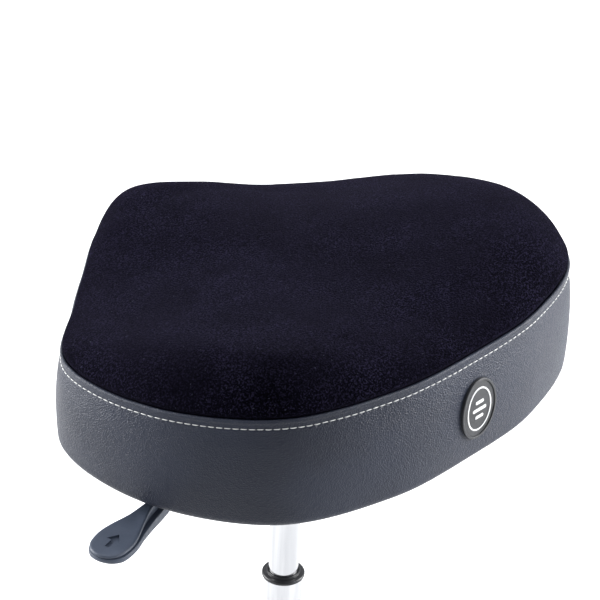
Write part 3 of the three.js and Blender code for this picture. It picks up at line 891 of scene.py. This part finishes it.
def add_staples(line):
    """Wire staples through the cloth's edge, but none over the lever."""
    lengths = walked(line)
    count = round(lengths[-1] / STAPLE_PITCH)
    half, wire = 5.0, 0.33
    leg = [(half, 1.2), (half, -0.1), (half - 0.5, -0.5)]
    path = [(-s, lift) for s, lift in leg] + leg[::-1]
    paths = []
    for staple in range(count):
        length = (staple + 0.5) * lengths[-1] / count
        here = at_length(line, lengths, length)
        if here.x > 0 and abs((LEVER_TURN.inverted() @ here).y) < LEVER_ROOM:
            continue  # the lever rises here
        along = (at_length(line, lengths, length + 1) - here).normalized()
        across = along.cross(UP)
        paths.append([
            (here + along * s + UP * lift, across, along if abs(s) == half else UP, wire)
            for s, lift in path
        ])
    staples = wires("hem_staples", paths, 6)
    dress(staples, ZINC, "seat", "zinc_steel")


# ---------- badge ----------
def add_badge(band):
    """A plain oval plate that lies on the band at the rear, with a raised rim and a plain emblem."""
    hit = surface_of(band)
    low, high = box_mm("badge")
    middle = (low.z + high.z) / 2
    half_width = (high.x - low.x) / 2
    half_height = (high.z - low.z) / 2
    thick = high.y - low.y
    upright = Matrix(((1, 0, 0, 0), (0, 0, 1, 0), (0, 1, 0, 0), (0, 0, 0, 1)))

    def oval(inset):
        return ellipse(0, middle, half_width - inset, half_height - inset)

    def stood_on_band(obj):
        """Bends a plate drawn flat, its back at y = 0, onto the band."""
        for vertex in obj.data.vertices:
            x, y, z = local(vertex.co)
            surface, _ = hit((x, high.y + 20, z), (0, -1, 0))
            vertex.co = TO_FRAME @ Vector((x, surface.y - 0.2 + y, z))
        return obj

    def plate(name, loops, near, far, bevel):
        return stood_on_band(flat_part(name, loops, near, far, bevel, upright))

    # The face has points all over, so that it bends smoothly.
    far = thick - 0.9
    scale = 1 - 0.6 / half_width
    face_x, face_z = half_width * scale, half_height * scale
    face_oval = ellipse(0, middle, face_x, face_z)
    loops = [[(0, far, middle)] * len(face_oval)]
    for s in (0.25, 0.5, 0.75, 0.9, 1.0):
        loops.append([(x * s, far, middle + (z - middle) * s) for x, z in face_oval])
    for grow, y in ((0.45, far - 0.15), (0.6, far - 0.5), (0.6, 0)):
        loops.append([(x, y, z) for x, z in ellipse(0, middle, face_x + grow, face_z + grow)])
    face = stood_on_band(rings("badge_plate", loops, capped=False))
    dress(face, BADGE_PLASTIC, "seat", "badge_plastic", "badge")
    rim = plate("badge_rim", [oval(0), oval(2.2)], 0.4, thick, 0.35)
    dress(rim, BADGE_PLASTIC, "seat", "badge_plastic")
    ring_loops = [ellipse(0, middle, 15.4, 20.6), ellipse(0, middle, 14.0, 19.2)]
    marks = [plate("emblem_ring", ring_loops, thick - 1.3, thick - 0.5, 0.12)]
    for row, half in ((-1, 5.2), (0, 8.6), (1, 5.2)):
        z = middle + row * 7.0
        corners = ((-half, z - 1.5), (half, z - 1.5), (half, z + 1.5), (-half, z + 1.5))
        bar = filleted([(*corner, 1.4) for corner in corners])
        marks.append(plate(f"emblem_bar_{row + 2}", [bar], thick - 1.3, thick - 0.5, 0.12))
    for mark in marks:
        dress(mark, PRINT, "seat", "white_print")


# ---------- mechanism ----------
RIVET_R = 3.0
HOLE_R = 3.3


def rounded_box(x, y, radius):
    return filleted([(x, y, radius), (-x, y, radius), (-x, -y, radius), (x, -y, radius)], 10)


def add_mechanism():
    low, high = box_mm("mount_plate")
    half_x, half_y = (high.x - low.x) / 2, (high.y - low.y) / 2
    screws = [local(centre(f"plate_screw_{i}")) for i in (1, 2, 3, 4)]
    screw_low, screw_top = heights("plate_screw_1")
    holes = [circle(p.x, p.y, HOLE_R, 24) for p in screws]
    plate = flat_part("seat_plate", [rounded_box(half_x, half_y, 14)] + holes, low.z, high.z, 0.6)
    dress(plate, BLACK_STEEL, "seat", "black_steel", "mount_plate")
    for i, place in enumerate(screws):
        head = [(0, screw_low), (3.2, screw_low), (6, screw_low + 1.6, 0.9), (6, low.z - 0.3, 0.2)]
        profile = head + [(3, low.z - 0.3), (3, screw_top - 2), (0, screw_top)]
        spot = Matrix.Translation((place.x, place.y, 0))
        screw = lathe(f"seat_screw_{i + 1}", profile, spot, 48)
        hexagon = circle(0, 0, 2.3, 6)
        recess = flat_part("recess", [hexagon], screw_low - 2, screw_low + 2.2, 0.01, spot)
        combine(screw, [recess], "DIFFERENCE")
        dress(screw, ZINC, "seat", "zinc_steel", f"plate_screw_{i + 1}")

    socket_low, socket_top = heights("taper_socket")
    socket = lathe("tapered_socket", [
        (14.3, socket_low), (17.2, socket_low, 0.6), (18, socket_low + 1.4, 0.6), (18, 459.6, 1.5),
        (24, 461, 0.8), (24, socket_top, 0.5), (14.1, socket_top),
    ])
    dress(socket, BLACK_STEEL, "seat", "black_steel", "taper_socket")
    for node in ("mechanism_channel", "lever_bar"):
        keep_node(node, BLACK_STEEL, 0.5)


def rivet(name, place, axis, half_length, body, *nodes):
    """A domed rivet along an axis through a point."""
    shank, head = RIVET_R, RIVET_R + 2.0
    dome = [(head * 0.55, 1.6), (head * 0.9, 0.9, 0.6), (head, 0)]
    profile = [(0, -half_length - 1.8)]
    profile += [(x, -half_length - rise, *fillet) for x, rise, *fillet in dome]
    profile += [(shank, -half_length), (shank, half_length)]
    profile += [(x, half_length + rise, *fillet) for x, rise, *fillet in reversed(dome)]
    profile.append((0, half_length + 1.8))
    turn = axis.to_track_quat("Z", "Y").to_matrix().to_4x4()
    pin = lathe(name, profile, Matrix.Translation(place) @ turn, 40)
    dress(pin, ZINC, body, "zinc_steel", *nodes)


# ---------- lever ----------
LEVER_PIN = local(centre("lever_pin"))
LEVER_TURN = Matrix.Rotation(atan2(LEVER_PIN.y, LEVER_PIN.x), 4, "Z")
# The paddle from its root to its tip: x, half width of its top plate, half width of its body, then
# the heights of the plate's top, of the body's upper edge and of the underside.
PADDLE = np.array([
    (192, 6.2, 6.6, 487, 483.2, 469.5),
    (206, 6.2, 6.6, 487.4, 483.2, 469),
    (214, 4.4, 7, 487.6, 479, 468.5),
    (226, 3.6, 7.4, 487.8, 477.4, 467),
    (240, 5.2, 9, 487.2, 477.6, 468),
    (252, 8, 11, 486.2, 477.8, 469.2),
    (262, 11.2, 13, 485.3, 478.2, 470.4),
    (272, 14.4, 15.6, 484.6, 478.6, 471.4),
    (281, 16.6, 17.3, 484, 479, 472.3),
    (289.5, 17, 17.7, 483.6, 479, 472.8),
    (298, 15.9, 16.8, 483.3, 479, 473.3),
    (304, 12.9, 13.8, 483.1, 479.2, 474),
    (308.5, 7.9, 8.6, 483, 479.3, 474.5),
    (310.5, 0, 0, 483, 479.4, 474.8),
])
PLATE_HALF, BODY_HALF, TOP, WALL, LOW = 1, 2, 3, 4, 5
PADDLE_HALF_TURN = 120  # columns from the root to the tip
ARROW_X = 289
ARROW_FLOOR, ARROW_CLEAR = 481.7, 492  # heights that the arrow is cut from and up to
LEVER_RIVET_HALF = 21.6


def thumb_hollow(x, y):
    return 1.3 * np.exp(-(((x - 256) / 10) ** 2) - (y / 9) ** 2)


def paddle_loop(half, inset, height, above):
    """Out along one side of the paddle, over its tip and back, moved in by an inset."""
    side = PADDLE[:, (0, half, height)] * (1, -1, 1)
    back = side[-2::-1] * (1, -1, 1)
    rows = np.vstack([side[:1], side, back, back[-1:]])
    line = spline(rows, np.linspace(1, len(rows) - 2, 2 * PADDLE_HALF_TURN + 1))
    along = np.gradient(line[:, :2], axis=0)
    along /= np.linalg.norm(along, axis=1, keepdims=True)
    line[:, 0] -= along[:, 1] * inset
    line[:, 1] += along[:, 0] * inset
    line[:, 2] += above
    if height == TOP:
        line[:, 2] -= thumb_hollow(line[:, 0], line[:, 1])
    return line


def paddle_face(loop, hollow, across=18):
    """Closes a loop with strips from side to side, as vertices and faces."""
    vertices, faces = [], []
    for i in range(PADDLE_HALF_TURN + 1):
        x, side, z = loop[i]
        flat = z + hollow * thumb_hollow(x, side)
        for k in range(across + 1):
            y = side * (1 - 2 * k / across)
            vertices.append((x, y, flat - hollow * thumb_hollow(x, y)))
    for i in range(PADDLE_HALF_TURN):
        for k in range(across):
            corner = i * (across + 1) + k
            faces.append((corner, corner + 1, corner + across + 2, corner + across + 1))
    return vertices, faces


def add_lever():
    """A rounded plate over a wider body, with a groove between them and an arrow pressed into it."""
    plate = [(1.9, 0.0), (1.2, -0.1), (0.6, -0.35), (0.2, -0.8), (0.0, -1.4), (0.0, -2.2),
             (0.2, -2.7), (0.6, -2.95), (1.2, -3.0)]
    loops = [paddle_loop(PLATE_HALF, inset, TOP, above) for inset, above in plate]
    loops.append(paddle_loop(PLATE_HALF, 1.3, WALL, 0.0))
    edge = [(1.0, 0.0), (0.5, -0.1), (0.15, -0.4), (0.0, -1.0)]
    loops += [paddle_loop(BODY_HALF, inset, WALL, above) for inset, above in edge]
    under = [(0.0, 2.4), (0.3, 1.2), (0.9, 0.4), (1.8, 0.05), (2.6, 0.0)]
    loops += [paddle_loop(BODY_HALF, inset, LOW, above) for inset, above in under]
    faces = (paddle_face(loops[0], 1.0), paddle_face(loops[-1], 0.0))
    paddle = add_piece("release_paddle", skin(loops, faces), LEVER_TURN, 40)
    arrow = [(9.5, -2), (9.5, 2), (-0.5, 2), (-0.5, 6.5), (-9, 0), (-0.5, -6.5), (-0.5, -2)]
    loop = [Vector((ARROW_X + x, y)) for x, y in arrow]
    cutter = flat_part("arrow", [loop], ARROW_FLOOR, ARROW_CLEAR, 0.01, LEVER_TURN)
    combine(paddle, [cutter], "DIFFERENCE", 40)
    dress(paddle, LEVER_PLASTIC, "lever", "black_plastic", "lever_paddle")
    tangent = LEVER_TURN @ Vector((0, 1, 0))
    rivet("lever_rivet", LEVER_PIN, tangent, LEVER_RIVET_HALF, "seat", "lever_pin")


# ---------- column ----------
CYLINDER_R = 14
BORE_R = 12
TAPER_FOOT = 430  # height at which the cylinder starts to taper
BORE_TOP = 455
TUBE_R, TUBE_BORE_R = 18, 16.5


def add_column():
    cylinder_low, cylinder_top = heights("gas_cylinder")
    cylinder = lathe("lift_cylinder", [
        (5.3, cylinder_low), (13, cylinder_low, 0.5), (CYLINDER_R, cylinder_low + 1.5, 0.6),
        (CYLINDER_R, TAPER_FOOT), (13.25, cylinder_top - 2, 0.6), (12.2, cylinder_top, 0.4),
        (3.8, cylinder_top), (3.8, BORE_TOP), (BORE_R, BORE_TOP), (BORE_R, cylinder_low + 12),
        (5.3, cylinder_low + 12),
    ], segments=128)
    dress(cylinder, CHROME, "seat", "chrome", "gas_cylinder")

    tube_low, tube_top = heights("outer_tube")
    tube = lathe("column_tube", [
        (TUBE_BORE_R, tube_low, 0.3), (TUBE_R, tube_low, 0.3), (TUBE_R, tube_top, 0.3),
        (TUBE_BORE_R, tube_top, 0.3),
    ], segments=128)
    dress(tube, CHROME, "base", "chrome", "outer_tube")

    ring_low = heights("column_ring")[0]
    ring = lathe("guide_ring", [
        (14.3, ring_low), (19.8, ring_low, 0.4), (20.1, ring_low + 0.8, 0.5),
        (20.1, ring_low + 2.5, 0.5), (19.4, ring_low + 3.5, 0.6), (16.8, ring_low + 3.7, 0.5),
        (15.8, ring_low + 4.0, 0.4), (15.4, ring_low + 5.6, 0.35), (14.3, ring_low + 5.6, 0.2),
    ], segments=128)
    dress(ring, RING_PLASTIC, "base", "black_plastic", "column_ring")

    plug_low, plug_top = heights("bottom_plug")
    plug = lathe("tube_plug", [
        (5.4, plug_low, 0.3), (17.2, plug_low, 0.9), (TUBE_R, plug_low + 1, 0.4),
        (TUBE_R, tube_low - 0.3), (16.2, tube_low - 0.3), (16.2, plug_top), (5.4, plug_top),
    ])
    dress(plug, RING_PLASTIC, "base", "black_plastic", "bottom_plug")
    keep_node("guide_bushing", RING_PLASTIC)
    for node in ("piston_rod", "valve_button", "rod_clip", "bearing_lower_race", "bearing_upper_race",
                 "bearing_ball_ring"):
        keep_node(node, CHROME if node == "piston_rod" else ZINC, 0.15)
    keep_node("piston", RING_PLASTIC)
    keep_node("bump_stop", RUBBER, 0.4)
    keep_node("seat_board", PLYWOOD, 0.8)


# ---------- tripod ----------
STRIP_HALF = 8
STRIP_THICK = 2.5
STRIP_REACH = 235.42  # from a leg's top pivot to the middle of its strips' round lower end
BRACE_SIDE = 3.4  # inner face of a brace strip from the leg's middle plane
LEG_SIDE = 6.3
BOOT_MOUTH, BOOT_WIDE = 204, 262  # along the leg
SLOT_RISE = 15


def smooth(x, low, high):
    s = min(1.0, max(0.0, (x - low) / (high - low)))
    return s * s * (3 - 2 * s)


def radial_plane(azimuth):
    """Turns a drawing's x and y into outwards and up in a leg's plane, and z into the tangent."""
    c, s = cos(azimuth), sin(azimuth)
    return Matrix(((c, 0, s, 0), (s, 0, -c, 0), (0, 1, 0, 0), (0, 0, 0, 1)))


def in_plane(point):
    """A point as its distance from the axis and its height."""
    return Vector((hypot(point.x, point.y), point.z))


def strip_outline(start, end, half, steps=20):
    along = (end - start).normalized()
    across = Vector((-along.y, along.x))
    loop = []
    for place, turn in ((end, -pi / 2), (start, pi / 2)):
        for i in range(steps + 1):
            a = turn + pi * i / steps
            loop.append(place + along * half * cos(a) + across * half * sin(a))
    return loop


def add_strip(name, node, body, plane, start, end, holes, low, high):
    loops = [strip_outline(start, end, STRIP_HALF)] + [circle(p.x, p.y, HOLE_R, 28) for p in holes]
    part = flat_part(name, loops, low, high, 0.45, plane)
    dress(part, CHROME, body, "chrome", node)


def foot_ring(along, shrink, top, along_dir, across_dir):
    """A rounded section of the boot at a distance along the leg."""
    part = smooth(along, BOOT_MOUTH, BOOT_WIDE)
    low = -13 - 2 * part + shrink
    high = 13 + part - shrink
    half = 13.2 + 0.8 * part - shrink
    corners = ((half, low), (half, high), (-half, high), (-half, low))
    loop = []
    for side, across in filleted([(*corner, 5.5) for corner in corners], 7):
        flat = top + along_dir * along + across_dir * across
        loop.append((flat.x, max(flat.y, 0.0), side))
    return loop


def add_foot(number, plane, top, along_dir):
    across_dir = Vector((-along_dir.y, along_dir.x))
    loops = [foot_ring(BOOT_MOUTH, 2.2, top, along_dir, across_dir)]
    for along in (BOOT_MOUTH + 58 * i / 71 for i in range(72)):
        ribbed = 209 < along < 245
        ribs = 0.6 * max(0.0, cos(2 * pi * (along - BOOT_MOUTH) / 7.0)) if ribbed else 0
        mouth = 1.3 * (1 - smooth(along, BOOT_MOUTH, 206))
        loops.append(foot_ring(along, ribs + mouth, top, along_dir, across_dir))
    for along, shrink in ((263.5, 0.3), (264.8, 1.1), (265.6, 2.3), (266, 4.0)):
        loops.append(foot_ring(along, shrink, top, along_dir, across_dir))
    boot = rings(f"rubber_foot_{number}", loops, plane, 50)
    dress(boot, RUBBER, f"leg_{number}", "rubber", f"foot_{number}")


def add_leg(number):
    hub = local(centre(f"hub_pin_{number}"))
    plane = radial_plane(atan2(hub.y, hub.x))
    pins = (centre(f"{pin}_pin_{number}") for pin in ("hub", "middle", "leg"))
    hub, middle, top = (in_plane(local(pin)) for pin in pins)
    tangent = plane @ UP
    along_dir = (middle - top).normalized()
    leg = f"leg_{number}"
    strips = (
        ("brace", BRACE_SIDE, hub, middle, (hub, middle)),
        ("leg", LEG_SIDE, top, top + along_dir * STRIP_REACH, (top, middle)),
    )
    for side, sign in (("left", -1), ("right", 1)):
        for kind, inner, start, end, holes in strips:
            low, high = sorted((sign * inner, sign * (inner + STRIP_THICK)))
            name = f"{kind}_strip_{number}_{side}"
            node = f"{kind}_{number}_{side}"
            add_strip(name, node, f"{kind}_{number}", plane, start, end, holes, low, high)
    for pin, place, inner, body in (
        ("hub", hub, BRACE_SIDE, "base"),
        ("middle", middle, LEG_SIDE, leg),
        ("leg", top, LEG_SIDE, leg),
    ):
        spot = plane @ Vector((place.x, place.y, 0))
        half = inner + STRIP_THICK + 0.3
        rivet(f"{pin}_rivet_{number}", spot, tangent, half, body, f"{pin}_pin_{number}")
    add_foot(number, plane, top, along_dir)


def lug_ring(name, low, high, lug_low, lug_high, thick, holes):
    """A ring round the tube with a lug towards each leg."""
    body = lathe(name, [(18.4, low, 0.3), (21.5, low, 0.9), (21.5, high, 0.9), (18.4, high, 0.3)])
    lugs = []
    for number in (1, 2, 3):
        pin = local(centre(f"hub_pin_{number}"))
        outline_points = filleted([
            (19.9, lug_low), (31, lug_low, 4), (36.5, lug_low + 5, 4), (36.5, lug_high - 5, 4),
            (31, lug_high, 4), (19.9, lug_high),
        ])
        plane = radial_plane(atan2(pin.y, pin.x))
        lugs.append(flat_part("lug", [outline_points] + holes, -thick, thick, 0.5, plane))
    return body, lugs


def add_hub():
    low, high = heights("brace_hub")
    pivot = in_plane(local(centre("hub_pin_1")))
    hole = circle(pivot.x, pivot.y, HOLE_R, 28)
    hub, lugs = lug_ring("leg_hub", low, high, low + 2, high - 2, 3.1, [hole])
    combine(hub, lugs, "UNION")
    dress(hub, BLACK_STEEL, "base", "black_steel", "brace_hub")


def add_collar():
    low, high = heights("leg_collar")
    pivot = in_plane(local(centre("leg_pin_1")))
    slot = strip_outline(pivot, pivot + Vector((0, SLOT_RISE)), HOLE_R, 14)
    collar, lugs = lug_ring("sliding_collar", low, high, low + 2, high - 1, 6.0, [slot])
    forward = Matrix.Translation((0, 0, (low + high) / 2)) @ Matrix.Rotation(pi / 2, 4, "X")
    boss = lathe("boss", [(3.3, 19.9), (7, 19.9), (7, 29, 0.9), (3.3, 29, 0.4)], forward, 48)
    combine(collar, lugs + [boss], "UNION")
    dress(collar, BLACK_STEEL, "leg_collar", "black_steel", "leg_collar")
    add_wing_bolt(forward)


def add_wing_bolt(forward):
    """Moulded wing grip on a threaded shank."""
    thread = [(0, 18.8), (2.2, 18.8, 0.3)]
    for turn in range(14):
        start = 19.6 + turn * 1.0
        thread += [(3.0, start), (2.5, start + 0.5)]
    thread += [(2.9, 34), (0, 34)]
    shank = lathe("wing_bolt_shank", thread, forward, 40)
    dress(shank, ZINC, "wing_bolt", "zinc_steel")
    grip = [(0, 34), (6.4, 34, 0.8), (8, 46.5, 1.5), (6, 48, 1.2), (0, 47.2)]
    hub = lathe("wing_grip", grip, forward, 56)
    wing = [(-19, 5, 3), (-22, 0, 4), (-19, -5, 3), (-8, -3.6, 8), (0, -5.5, 5), (8, -3.6, 8)]
    wing += [(-x, -y, radius) for x, y, radius in wing]
    wings = flat_part("wings", [filleted(wing)], 38, 46, 2.2, forward)
    combine(hub, [wings], "UNION", 40)
    dress(hub, RING_PLASTIC, "wing_bolt", "black_plastic", "wing_bolt")


# ---------- camera, floor and light ----------
CAMERA_TURNS = (131.535, 30.577, 2.303)  # azimuth, elevation and roll, in degrees
CAMERA_PLACE = Vector((1.5024, 1.3381, 1.7563))  # from the column's foot, in metres
CAMERA_LENS = 159.64
FLOOR_RADIUS = 6.0


def add_camera():
    azimuth, elevation, roll = (radians(a) for a in CAMERA_TURNS)
    back = Vector((sin(azimuth) * cos(elevation), -cos(azimuth) * cos(elevation),
                   sin(elevation)))
    level = (-back).cross(UP).normalized()
    rise = level.cross(-back)
    right = level * cos(roll) + rise * sin(roll)
    up = rise * cos(roll) - level * sin(roll)
    camera = link("camera", bpy.data.cameras.new("camera"))
    turn = Matrix((right, up, back)).transposed().to_4x4()
    camera.matrix_world = Matrix.Translation(COLUMN + CAMERA_PLACE) @ turn
    camera.data.sensor_width = 36
    camera.data.lens = CAMERA_LENS
    bpy.context.scene.camera = camera
    return back


def add_area(name, place, target, size, power):
    light = bpy.data.lights.new(name, "AREA")
    light.shape = "RECTANGLE"
    light.size, light.size_y = size
    light.energy = power
    obj = link(name, light)
    aim = (Vector(target) - Vector(place)).to_track_quat("-Z", "Y").to_matrix().to_4x4()
    obj.matrix_world = Matrix.Translation(place) @ aim


def add_world(toward_camera):
    """A white room that is dimmer on the camera's side. The camera itself sees it white."""
    world = bpy.data.worlds.new("studio")
    bpy.context.scene.world = world
    world.use_nodes = True
    room = Nodes(world.node_tree)
    place = room.node("ShaderNodeTexCoord").outputs["Generated"]
    level = Vector((toward_camera.x, toward_camera.y, 0)).normalized()
    facing = room.node("ShaderNodeVectorMath", {0: place, 1: level}, operation="DOT_PRODUCT")
    seen = room.node("ShaderNodeLightPath").outputs["Is Camera Ray"]
    dim = room.span(facing.outputs["Value"], 0.5, 0.95, 1.0, 0.13)
    sky = room.tree.nodes["Background"]
    room.feed(room.math("MAXIMUM", dim, seen), sky.inputs["Strength"])
    room.feed(room.mix(seen, (0.92, 0.95, 1.0), (1, 1, 1)), sky.inputs["Color"])


def add_studio(toward_camera):
    side = Vector((toward_camera.y, -toward_camera.x, 0)).normalized()
    away = Vector((toward_camera.x, toward_camera.y, 0)).normalized()
    top = Vector((0, 0, 0.55))
    for name, sign in (("left_softbox", -1), ("right_softbox", 1)):
        add_area(name, top + side * 1.9 * sign - away * 0.3 + UP * 0.5, top, (1.2, 1.6), 64)
    add_area("top_softbox", top - away * 0.6 + UP * 2.0, top, (1.6, 1.6), 10)
    rim = [(p.x, p.y, 0) for p in circle(0, 0, FLOOR_RADIUS, 96)]
    floor = raw_mesh(rim, [tuple(range(len(rim)))])
    floor.name = "floor"
    ground = link("floor", floor)
    floor.materials.append(floor_finish())
    bpy.context.scene.view_settings.view_transform = "Standard"


# ---------- assembly ----------
view_back = add_camera()
add_world(view_back)
add_studio(view_back)
side_band = add_side_band()
add_velour_top()
add_foam()
add_stitches(side_band)
add_dust_cover()
add_badge(side_band)
add_mechanism()
add_lever()
add_column()
for leg_number in (1, 2, 3):
    add_leg(leg_number)
add_hub()
add_collar()
